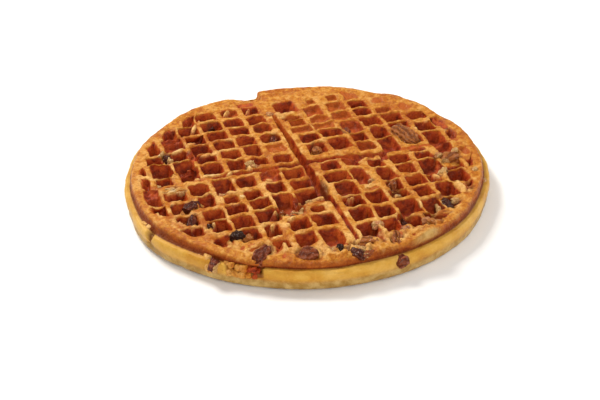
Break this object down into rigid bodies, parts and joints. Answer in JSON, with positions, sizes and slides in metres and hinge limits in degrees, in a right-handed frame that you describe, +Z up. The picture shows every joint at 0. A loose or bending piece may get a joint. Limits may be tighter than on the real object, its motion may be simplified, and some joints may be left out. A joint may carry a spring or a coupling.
{
  "type": "round waffle",
  "caption": "Round pecan waffle in four quarters, with square pockets on both faces, a raised ring above a lower flange, and pieces of pecan baked into the crust.",
  "frame": {"origin": "centre of the underside, on the surface that the waffle rests on", "axes": "+Z up through the thickness, +X along the shallow groove, +Y along the deep groove; the picture looks along about 16 degrees to the right of +Y, from above the side with most pecans"},
  "size_m": [0.1852, 0.1868, 0.0178],
  "materials": {
    "waffle_crust": "browned crust, golden to red-brown in the pockets, slightly oily",
    "pecan": "dark ridged nut skin with paler broken faces"
  },
  "bodies": {
    "root": {"waffle": "waffle_crust", "pecan_half_back_right": "pecan", "pecan_right": "pecan", "pecan_left": "pecan", "pecan_left_sliver": "pecan", "pecan_dark_front_left": "pecan", "pecan_red_front_left": "pecan", "pecan_red_front": "pecan", "pecan_dark_front": "pecan", "pecan_long_front": "pecan", "pecan_split_front": "pecan", "pecan_round_front": "pecan", "pecan_right_front": "pecan", "pecan_mid_right": "pecan", "pecan_back_left": "pecan", "pecan_back_right": "pecan", "pecan_by_centre": "pecan", "pecan_by_groove": "pecan", "pecan_edge_left": "pecan", "pecan_edge_front": "pecan"}
  },
  "joints": []
}
